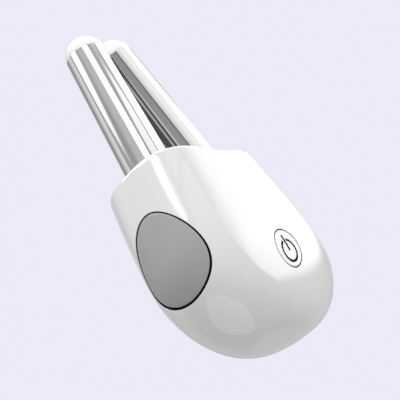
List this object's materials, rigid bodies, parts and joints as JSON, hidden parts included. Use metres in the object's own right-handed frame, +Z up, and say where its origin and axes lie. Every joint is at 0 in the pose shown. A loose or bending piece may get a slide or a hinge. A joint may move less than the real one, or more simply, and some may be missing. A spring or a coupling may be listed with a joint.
{
  "type": "red light nasal device",
  "caption": "Handheld nasal light device: pebble-shaped housing with hinged probes that spread when the side pads are squeezed, and a front power button.",
  "frame": {"origin": "middle of the flat foot under the housing, in the plane of the two probes", "axes": "+Z up along the device towards the probe tips, -Y out of the front face with the power button, +X across the device, to the right when its front face is seen"},
  "size_m": [0.042, 0.0214, 0.0654],
  "materials": {
    "housing_plastic": "white, high gloss",
    "cover_plastic": "white, gloss",
    "frame_plastic": "light grey, matte",
    "lever_plastic": "off-white, matte",
    "probe_metal": "bright silver plating",
    "cap_plastic": "milky white, gloss",
    "pad_rubber": "mid grey, matte",
    "carrier_plastic": "black, matte",
    "symbol_ink": "black",
    "steel": "plain steel",
    "socket_steel": "bright steel",
    "black_plastic": "black, matte",
    "board_green": "green solder resist",
    "battery_foil": "satin foil",
    "tape_yellow": "amber film",
    "wire_red": "red insulation",
    "wire_grey": "grey insulation",
    "lamp_red": "clear red"
  },
  "bodies": {
    "housing": {"housing": "housing_plastic", "top_cover": "cover_plastic", "inner_frame": "frame_plastic", "frame_screws": "steel", "pivot_pin_left": "steel", "pivot_pin_right": "steel", "main_board": "board_green", "board_chips": "black_plastic", "board_screws": "steel", "charging_socket": "socket_steel", "socket_insert": "black_plastic", "battery": "battery_foil", "battery_tape": "tape_yellow", "battery_leads": "wire_red", "switch_board": "board_green", "tact_switch": "black_plastic", "switch_leads": "wire_grey", "lever_spring_left": "steel", "lever_spring_right": "steel"},
    "power_button": {"power_button": "housing_plastic", "power_symbol": "symbol_ink", "switch_plunger": "black_plastic"},
    "left_lever": {"lever_left": "lever_plastic", "probe_shaft_left": "probe_metal", "probe_cap_left": "cap_plastic", "lamp_board_left": "board_green", "red_lamp_left": "lamp_red", "lamp_leads_left": "wire_red"},
    "left_pad": {"pad_grip_left": "pad_rubber", "pad_carrier_left": "carrier_plastic"},
    "right_lever": {"lever_right": "lever_plastic", "probe_shaft_right": "probe_metal", "probe_cap_right": "cap_plastic", "lamp_board_right": "board_green", "red_lamp_right": "lamp_red", "lamp_leads_right": "wire_red"},
    "right_pad": {"pad_grip_right": "pad_rubber", "pad_carrier_right": "carrier_plastic"}
  },
  "joints": [
    {"name": "left_lever_hinge", "type": "hinge", "parent": "housing", "child": "left_lever", "pos_m": [-0.00855, 0, 0.0272], "axis": [0, -1, 0], "range_deg": [0, 9], "stiffness_Nm_per_rad": 0.06, "springref_deg": -4.58, "deforming": ["lever_spring_left"]},
    {"name": "left_pad_slide", "type": "slide", "parent": "housing", "child": "left_pad", "axis": [1, 0, 0], "range_m": [0, 0.0024]},
    {"name": "right_lever_hinge", "type": "hinge", "parent": "housing", "child": "right_lever", "pos_m": [0.00855, 0, 0.0272], "axis": [0, 1, 0], "range_deg": [0, 9], "stiffness_Nm_per_rad": 0.06, "springref_deg": -4.58, "deforming": ["lever_spring_right"]},
    {"name": "right_pad_slide", "type": "slide", "parent": "housing", "child": "right_pad", "axis": [-1, 0, 0], "range_m": [0, 0.0024]},
    {"name": "power_button_press", "type": "slide", "parent": "housing", "child": "power_button", "axis": [0, 0.9722, 0.2342], "range_m": [0, 0.0003], "stiffness_N_per_m": 2000, "springref_m": -0.0001}
  ],
  "couplings": [
    {"joint": "left_pad_slide", "follows": "left_lever_hinge", "m_per_rad": 0.014609},
    {"joint": "right_pad_slide", "follows": "right_lever_hinge", "m_per_rad": 0.014609}
  ]
}
